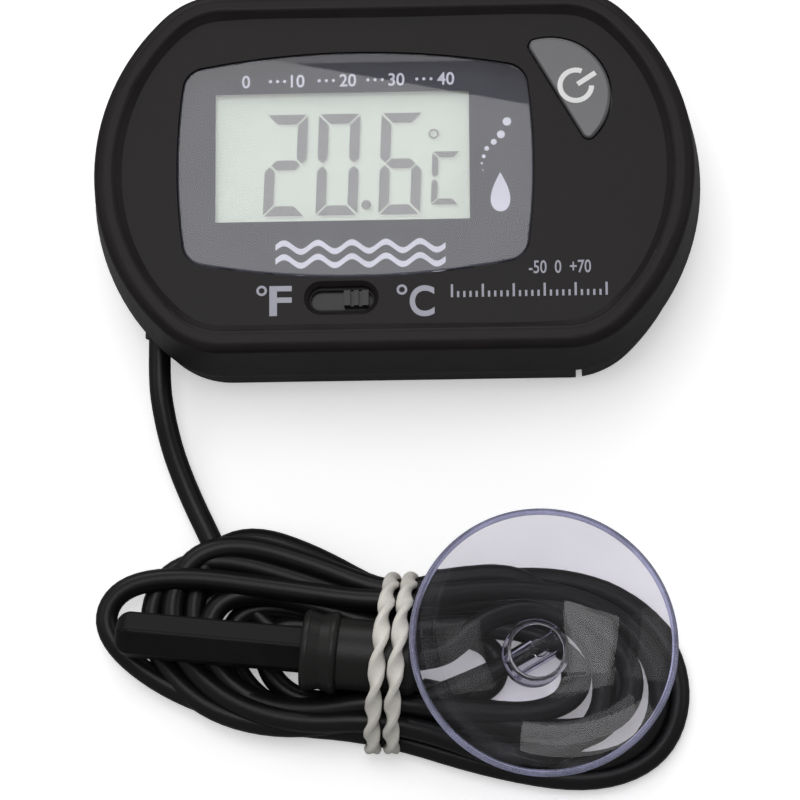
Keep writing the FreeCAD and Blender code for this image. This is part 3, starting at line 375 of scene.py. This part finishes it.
def make_cable():
    """The probe cable as one cord, in the place of its CAD solids."""
    data = bpy.data.curves.new("cable", "CURVE")
    data.dimensions = "3D"
    data.bevel_depth = CABLE_DIAMETER / 2 * MM
    data.bevel_resolution = 6
    data.resolution_u = 6
    data.use_fill_caps = True
    points = cable_points()
    spline = data.splines.new("NURBS")
    spline.points.add(len(points) - 1)
    for made, point in zip(spline.points, points):
        made.co = (*metres(*point), 1)
    spline.order_u = 3
    spline.use_endpoint_u = True
    data.materials.append(CABLE)
    cable = link("cable", data)
    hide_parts("probe_cable", "cable_hank")
    return cable


# --- tie --------------------------------------------------------------------------------------

# Each wrap crosses the waist at this X and leans by these degrees.
TIE_WRAPS = {"tie_wrap_left": (-1.8, -7.5), "tie_wrap_right": (0.0, -7.1)}
TIE_CENTRE_Y = -47.0
# Half of a wrap, from under the hank to above the probe: places across the hank and heights.
TIE_PATH = [(0.0, 0.35), (4.0, 0.35), (6.9, 0.4), (8.1, 1.1), (8.4, 3.2), (7.9, 5.4), (6.2, 7.9),
            (4.1, 10.0), (1.8, 10.9), (0.0, 11.0)]
TIE_HALF_WIDTH, TIE_HALF_THICKNESS = 0.82, 0.45
# The band turns about itself once in this length.
TIE_PITCH = 8.2
TIE_STEPS, TIE_SIDES = 240, 16
# Under the hank the band is squashed flat, and it is free from this height up.
TIE_FLATTEST, TIE_FREE_HEIGHT = 0.35, 2


def closed_path(half, steps):
    """Even points along a closed smooth curve, drawn by half of it and its mirror image, and the
    curve's length."""
    corners = half[:-1] + [(-y, z) for y, z in reversed(half)][:-1]
    data = bpy.data.curves.new("path", "CURVE")
    data.dimensions = "3D"
    spline = data.splines.new("NURBS")
    spline.points.add(len(corners) - 1)
    for made, (y, z) in zip(spline.points, corners):
        made.co = (0, y, z, 1)
    spline.order_u = 3
    spline.use_cyclic_u = True
    data.resolution_u = 24
    curve = bpy.data.objects.new("path", data)
    mesh = bpy.data.meshes.new_from_object(curve)
    places = [vertex.co.copy() for vertex in mesh.vertices]
    bpy.data.objects.remove(curve)
    lengths = [0.0]
    for here, there in zip(places, places[1:] + places[:1]):
        lengths.append(lengths[-1] + (there - here).length)
    even = []
    run = 0
    for step in range(steps):
        target = lengths[-1] * step / steps
        while lengths[run + 1] < target:
            run += 1
        share = (target - lengths[run]) / (lengths[run + 1] - lengths[run])
        even.append(places[run].lerp(places[(run + 1) % len(places)], share))
    return even, lengths[-1]


def squared(value):
    """Takes a ring's cosine or sine towards 1 or -1, which turns the ring into a rounded box."""
    return math.copysign(abs(value) ** 0.6, value)


def make_tie_wrap(name, x, lean):
    """A flat twisted band, round the waist of the hank and the sleeve of the probe."""
    path, length = closed_path(TIE_PATH, TIE_STEPS)
    twists = round(length / TIE_PITCH)
    across = Vector((1, 0, 0))
    mesh = bmesh.new()
    rings = []
    for step, share in enumerate(whole_turn(TIE_STEPS)):
        here = path[step]
        along = (path[(step + 1) % TIE_STEPS] - path[step - 1]).normalized()
        outward = along.cross(across)
        cos, sin = math.cos(share * twists), math.sin(share * twists)
        flat = min(1, max(TIE_FLATTEST, here.z / TIE_FREE_HEIGHT))
        ring = []
        for turn in whole_turn(TIE_SIDES):
            wide = TIE_HALF_WIDTH * squared(math.cos(turn))
            thick = TIE_HALF_THICKNESS * squared(math.sin(turn))
            sideways = wide * cos - thick * sin
            outwards = (wide * sin + thick * cos) * flat
            ring.append(mesh.verts.new((here + across * sideways + outward * outwards) * MM))
        rings.append(ring)
    skin(mesh, rings, closed=True)
    turn = Matrix.Rotation(math.radians(lean), 4, "Z")
    mesh.transform(Matrix.Translation(metres(x, TIE_CENTRE_Y, 0)) @ turn)
    wrap = link(name, finished(name, mesh, TIE, smooth=True))
    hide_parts("cable_tie")
    return wrap


# --- prints and display -----------------------------------------------------------------------

# The level of the housing's face, and how thick a layer of ink is.
FACE = 14.3
INK = 0.03


def flat_piece(name, shapes, low, thickness, material, body="root"):
    """One piece of thin raised shapes, each a closed outline of points seen from above."""
    mesh = bmesh.new()
    for shape in shapes:
        skin(mesh, [[mesh.verts.new(metres(x, y, z)) for x, y in shape]
                    for z in (low, low + thickness)], closed=False)
    link(name, finished(name, mesh, material, smooth=False), body)


def disc(x, y, radius, corners=28):
    return [(x + radius * math.cos(turn), y + radius * math.sin(turn))
            for turn in whole_turn(corners)]


def arc_band(x, y, radius, width, start=0, end=360):
    """Short straight-sided pieces that make up an arc of a ring, from start to end degrees."""
    pieces = 24
    inner, outer = radius - width / 2, radius + width / 2
    shapes = []
    for index in range(pieces):
        first, last = (math.radians(mix(start, end, (index + more) / pieces)) for more in (0, 1))
        shapes.append([(x + r * math.cos(a), y + r * math.sin(a))
                       for r, a in ((inner, first), (outer, first), (outer, last), (inner, last))])
    return shapes


def turned(shapes, x, y, degrees):
    """The shapes, drawn about the origin, turned and moved to a place."""
    cos, sin = math.cos(math.radians(degrees)), math.sin(math.radians(degrees))
    return [[(x + u * cos - v * sin, y + u * sin + v * cos) for u, v in shape] for shape in shapes]


def bar(left, right, low, high):
    """An upright rectangle."""
    return [(left, low), (right, low), (right, high), (left, high)]


# Seven-segment digits: a is the top bar, b to f follow it clockwise, and g is the middle bar.
LIT_SEGMENTS = {"2": "abged", "0": "abcdef", "6": "acdefg", "C": "adef"}
SLANT = math.tan(math.radians(2.2))
# The reading: the left edge of each digit, and what the digits have in common.
READING = [("2", -12.9), ("0", -7.75), ("6", -1.6)]
DIGIT_WIDTH, DIGIT_LOW, DIGIT_HIGH = 4.1, -4.2, 6.1
# Each segment throws a shadow to one side, in a thin layer that the segment starts halfway up.
SHADOW_RIGHT, SHADOW_DOWN = 0.22, 0.28
SHADOW_LAYER = 0.01


def digit(character, left, right, low, high, width, gap):
    """The lit segments of a digit, of a given width, with gaps between their ends."""
    half = width / 2
    middle = (low + high) / 2
    outlines = {
        "a": [(left + gap, high), (right - gap, high), (right - width - gap, high - width),
              (left + width + gap, high - width)],
        "b": [(right, high - gap), (right, middle + gap + half), (right - half, middle + gap),
              (right - width, middle + gap + half), (right - width, high - width - gap)],
        "c": [(right, low + gap), (right - width, low + width + gap),
              (right - width, middle - gap - half), (right - half, middle - gap),
              (right, middle - gap - half)],
        "g": [(left + half + gap, middle), (left + width + gap, middle + half),
              (right - width - gap, middle + half), (right - half - gap, middle),
              (right - width - gap, middle - half), (left + width + gap, middle - half)],
    }
    outlines["d"] = [(x, low + high - y) for x, y in outlines["a"]]
    outlines["f"] = [(left + right - x, y) for x, y in outlines["b"]]
    outlines["e"] = [(left + right - x, y) for x, y in outlines["c"]]
    return [[(x + (y - low) * SLANT, y) for x, y in outlines[name]]
            for name in LIT_SEGMENTS[character]]


def make_display():
    """The reading, with the shadow that it throws."""
    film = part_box("lcd_polarizer")[1].z / MM
    shapes = []
    for character, left in READING:
        shapes += digit(character, left, left + DIGIT_WIDTH, DIGIT_LOW, DIGIT_HIGH, 1.0, 0.14)
    shapes += digit("C", 3.55, 6.3, -3.3, 2.1, 0.62, 0.1)
    shapes.append(disc(-2.75, -3.2, 0.48))
    shapes += arc_band(3.9, 3.9, 0.42, 0.17)
    shade = [[(x + SHADOW_RIGHT, y - SHADOW_DOWN) for x, y in shape] for shape in shapes]
    flat_piece("display_shadows", shade, film, SHADOW_LAYER, SEGMENT_SHADOW)
    start = film + SHADOW_LAYER / 2
    flat_piece("display_segments", shapes, start, INK, SEGMENT)


def text_piece(name, text, left, low, height, width_share, level, bold, material):
    """Raised lettering in a printing ink, as high as asked, and wider or narrower than the font."""
    data = bpy.data.curves.new(name, "FONT")
    data.body = text
    data.extrude = 0.5
    data.size = 1
    data.offset = bold
    letters = bpy.data.objects.new(name, data)
    mesh = bpy.data.meshes.new_from_object(letters)
    bpy.data.objects.remove(letters)
    corners = [vertex.co for vertex in mesh.vertices]
    first, bottom = min(c.x for c in corners), min(c.y for c in corners)
    tall = max(c.y for c in corners) - bottom
    scale = height / tall
    for vertex in mesh.vertices:
        x, y, z = vertex.co
        vertex.co = metres(left + (x - first) * scale * width_share, low + (y - bottom) * scale,
                           level + (z + 0.5) * INK)
    mesh.materials.append(material)
    link(name, mesh)


# The middle of the cup's open rim, and how its axis leans. The knob is at the other end.
CUP_MIDDLE = metres(14.2, -46.6, 12.4)
CUP_TILT = math.radians(9.2)
# Along that axis from the middle, in millimetres: the thick rim and the edges of the knob.
RIM_RADIUS, RIM_LEVEL, RIM_SECTION = 12.78, -0.5, (0.28, 0.42)
KNOB_RADIUS, KNOB_LEVEL, KNOB_SECTION = 3.0, -8.3, (0.14, 0.5)
# The hole through the knob, from side to side.
HOLE_RADIUS, HOLE_HALF_LENGTH, HOLE_LEVEL = 1.2, 2.6, -8.35
HOLE_ANGLE = math.radians(31.8)
HOLE_SECTION = (0.11, 0.11)
ROD_SIDES = 10


def round_rod(mesh, places, section, closed):
    """A rod along some places, with an oval section that reaches so far aside and so far up."""
    aside, up = section
    last = len(places) - 1
    rings = []
    for index, here in enumerate(places):
        before = places[index - 1] if closed or index > 0 else here
        after = places[(index + 1) % len(places)] if closed or index < last else here
        across = (after - before).cross(Vector((0, 0, 1))).normalized() * aside
        ring = [here + across * math.cos(turn) + Vector((0, 0, up * math.sin(turn)))
                for turn in whole_turn(ROD_SIDES)]
        rings.append([mesh.verts.new(place * MM) for place in ring])
    skin(mesh, rings, closed)


def level_circle(radius, level, steps):
    return [Vector((radius * math.cos(turn), radius * math.sin(turn), level))
            for turn in whole_turn(steps)]


def cup_piece(name, mesh, material):
    """A piece drawn about the cup's own axis, set down where the cup is."""
    mesh.transform(Matrix.Translation(CUP_MIDDLE) @ Matrix.Rotation(CUP_TILT, 4, "Y"))
    link(name, finished(name, mesh, material, smooth=True), "suction_cup_body")


def make_cup_edges():
    """Rods along the edges of the clear cup that gather light: on the rim the lilac is partly the
    plastic's tint and partly painted glow, and on the knob and the hole in the knob the pale rods
    are painted highlights.
    """
    rim = bmesh.new()
    # the rim's lilac is partly the plastic's tint and partly painted glow
    round_rod(rim, level_circle(RIM_RADIUS, RIM_LEVEL, 128), RIM_SECTION, closed=True)
    cup_piece("cup_rim", rim, CUP_RIM_TINT_AND_GLOW)
    # the knob's edge and the two edges of its hole carry painted highlights
    knob = bmesh.new()
    round_rod(knob, level_circle(KNOB_RADIUS, KNOB_LEVEL, 64), KNOB_SECTION, closed=True)
    half_length = Vector((math.cos(HOLE_ANGLE), math.sin(HOLE_ANGLE), 0)) * HOLE_HALF_LENGTH
    aside = Vector((-math.sin(HOLE_ANGLE), math.cos(HOLE_ANGLE), 0)) * HOLE_RADIUS
    for side in (-1, 1):
        middle = aside * side + Vector((0, 0, HOLE_LEVEL))
        round_rod(knob, [middle - half_length, middle + half_length], HOLE_SECTION, closed=False)
    cup_piece("cup_knob_painted_highlights", knob, CUP_EDGE_HIGHLIGHT)


# The short lines under the range numbers: where they start, how far apart they are, how many
# there are and where their ends lie. Every fifth line is a long one.
RANGE_LEFT, RANGE_STEP, RANGE_LINES = 5.5, 0.6, 26
RANGE_LOW, RANGE_SHORT, RANGE_LONG = -13.0, -12.4, -11.7

# The mark on the power key, drawn about its own middle and then turned.
POWER_MARK_X, POWER_MARK_Y, POWER_MARK_TURN = 17.9, 8.1, -57


def make_face_prints():
    """Prints on the housing and on the power key."""
    text_piece("unit_letter_f", "F", -12.15, -14.6, 3.0, 1.3, FACE, 0.02, FACE_PRINT)
    text_piece("unit_letter_c", "C", 1.5, -14.85, 3.1, 0.88, FACE, 0.02, FACE_PRINT)
    rings = arc_band(-12.9, -12.05, 0.4, 0.24) + arc_band(0.75, -12.15, 0.4, 0.24)
    flat_piece("unit_degree_rings", rings, FACE, INK, FACE_PRINT)
    # the working range, as plain numbers over a scale of short lines
    text_piece("range_numbers", "-50  0  +70", 13.1, -10.75, 1.3, 0.75, FACE, 0.01, FACE_PRINT)
    lines = []
    for index in range(RANGE_LINES):
        left = RANGE_LEFT + RANGE_STEP * index
        lines.append(bar(left, left + 0.22, RANGE_LOW, RANGE_SHORT if index % 5 else RANGE_LONG))
    flat_piece("range_scale", lines, FACE, INK, FACE_PRINT)
    # the power mark: a broken ring and a bar
    key_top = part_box("power_button")[1].z / MM
    mark = arc_band(0, 0, 1.55, 0.5, 125, 415) + [bar(-0.25, 0.25, 0.2, 2.3)]
    mark = turned(mark, POWER_MARK_X, POWER_MARK_Y, POWER_MARK_TURN)
    flat_piece("power_mark", mark, key_top, INK, WHITE_PRINT, "power_key")


# Behind the window: bubbles (places and radii) that rise from a drop, with a scale above the
# display and two waves below it.
BUBBLES = [(11.1, 4.8, 0.42), (10.5, 3.5, 0.39), (9.8, 2.75, 0.29), (9.1, 2.1, 0.23),
           (8.8, 1.3, 0.19), (8.6, 0.6, 0.12), (8.7, -0.1, 0.08)]
DROP_X, DROP_Y, DROP_WIDTH, DROP_HEIGHT = 10.4, -2.3, 1.3, 2.0
SCALE_STEP = 4.8
WAVE_LEFT, WAVE_LENGTH, WAVE_STEPS = -11.6, 16.6, 60
WAVE_ROWS, WAVE_RISE, WAVE_HALF_WIDTH = (-7.6, -9.0), 0.45, 0.3


def make_lens_prints():
    """Prints that are seen through the window."""
    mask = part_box("window_mask")[1].z / MM
    bubbles = [disc(*bubble) for bubble in BUBBLES]
    flat_piece("bubble_marks", bubbles, mask, INK, PRINT)
    drop = [(DROP_X + DROP_WIDTH * math.sin(turn) * math.sin(turn / 2) ** 1.2,
             DROP_Y + DROP_HEIGHT * math.cos(turn)) for turn in whole_turn(32)]
    flat_piece("drop_mark", [drop], mask, INK, PRINT)
    for index in range(5):
        text_piece(f"scale_number_{index}", str(10 * index), -14.9 + SCALE_STEP * index, 8.65, 1.3,
                   0.95, mask, 0.015, PRINT)
    dots = [disc(-12.1 + SCALE_STEP * index + 0.7 * more, 9.3, 0.16, 12)
            for index in range(4) for more in range(3)]
    flat_piece("scale_dots", dots, mask, INK, PRINT)
    waves = []
    for row in WAVE_ROWS:
        points = [(WAVE_LEFT + WAVE_LENGTH * step / WAVE_STEPS,
                   row + WAVE_RISE * math.sin(step * math.pi / 6))
                  for step in range(WAVE_STEPS + 1)]
        for (x, y), (next_x, next_y) in zip(points, points[1:]):
            waves.append([(x, y - WAVE_HALF_WIDTH), (next_x, next_y - WAVE_HALF_WIDTH),
                          (next_x, next_y + WAVE_HALF_WIDTH), (x, y + WAVE_HALF_WIDTH)])
    flat_piece("wave_band", waves, mask, INK, PRINT)


# --- floor and light --------------------------------------------------------------------------


# Lamps, in metres: place, size, brightness, and the turn in degrees of one that faces down.
SOFT_BOXES = {
    # the lens mirrors the wedge-shaped gap between these two
    "over_box": ((-0.06, 0.024, 0.62), (0.34, 0.34), 3.2, -11.3),
    "over_strip": ((-0.03, 0.2555, 0.62), (0.4, 0.12), 1.8, 0),
    # these face the middle of the object
    "left_box": ((-0.6, 0.1, 0.45), (0.5, 0.5), 0.7, None),
    "right_box": ((0.6, 0.15, 0.35), (0.4, 0.4), 0.8, None),
    "back_box": ((-0.1, 0.65, 0.36), (0.9, 0.35), 2.5, None),
}
OBJECT_MIDDLE = metres(0, -20, 0)
WORLD_STRENGTH = 0.38


def soft_box(name, place, size, brightness, turn):
    """A lamp as bright as asked, whatever its size."""
    data = bpy.data.lights.new(name, "AREA")
    data.shape = "RECTANGLE"
    data.size, data.size_y = size
    data.energy = brightness * math.pi * size[0] * size[1]
    lamp = bpy.data.objects.new(name, data)
    scene.collection.objects.link(lamp)
    lamp.location = place
    if turn is None:
        towards = OBJECT_MIDDLE - Vector(place)
        lamp.rotation_euler = towards.to_track_quat("-Z", "Y").to_euler()
    else:
        lamp.rotation_euler = (0, 0, math.radians(turn))


def floor_paper():
    """Paper that looks overexposed, yet throws only a little light back at the object."""
    paper = surface("floor_white", (0.92, 0.92, 0.92), 0.7, mottle=0.005, patch=80, grain=8,
                    depth=0.01, Emission_Color=(1, 1, 1, 1), Emission_Strength=0.35)
    tree = paper.node_tree
    dim = tree.nodes.new("ShaderNodeBsdfDiffuse")
    dim.inputs["Color"].default_value = (0.3, 0.3, 0.3, 1)
    # diffuse and glossy rays, but none that has come through clear plastic
    rays = tree.nodes.new("ShaderNodeLightPath")
    reflected = tree.nodes.new("ShaderNodeMath")
    reflected.operation = "ADD"
    wire(tree, rays, "Is Diffuse Ray", reflected, 0)
    wire(tree, rays, "Is Glossy Ray", reflected, 1)
    picked = tree.nodes.new("ShaderNodeMath")
    picked.operation = "SUBTRACT"
    picked.use_clamp = True
    wire(tree, reflected, "Value", picked, 0)
    wire(tree, rays, "Is Transmission Ray", picked, 1)
    return swap_for_rays(paper, dim, picked, "Value")


def make_studio():
    """The floor, the lamps and an even white surrounding."""
    mesh = bmesh.new()
    bmesh.ops.create_grid(mesh, x_segments=8, y_segments=8, size=1.5)
    # a hair below the table's level, so that nothing lies in the same plane
    bmesh.ops.translate(mesh, verts=mesh.verts, vec=(0, 0, -0.00005))
    data = bpy.data.meshes.new("floor")
    mesh.to_mesh(data)
    data.materials.append(floor_paper())
    floor = bpy.data.objects.new("floor", data)
    scene.collection.objects.link(floor)
    world = bpy.data.worlds.new("studio")
    world.use_nodes = True
    backdrop = world.node_tree.nodes["Background"]
    backdrop.inputs["Color"].default_value = (1, 1, 1, 1)
    backdrop.inputs["Strength"].default_value = WORLD_STRENGTH
    scene.world = world
    for name, box in SOFT_BOXES.items():
        soft_box(name, *box)


# --- making -----------------------------------------------------------------------------------

make_camera()
cable = make_cable()
wraps = [make_tie_wrap(name, *wrap) for name, wrap in TIE_WRAPS.items()]
dress_nodes()
make_cup_edges()
make_display()
make_face_prints()
make_lens_prints()
make_studio()

bpy.context.view_layer.update()
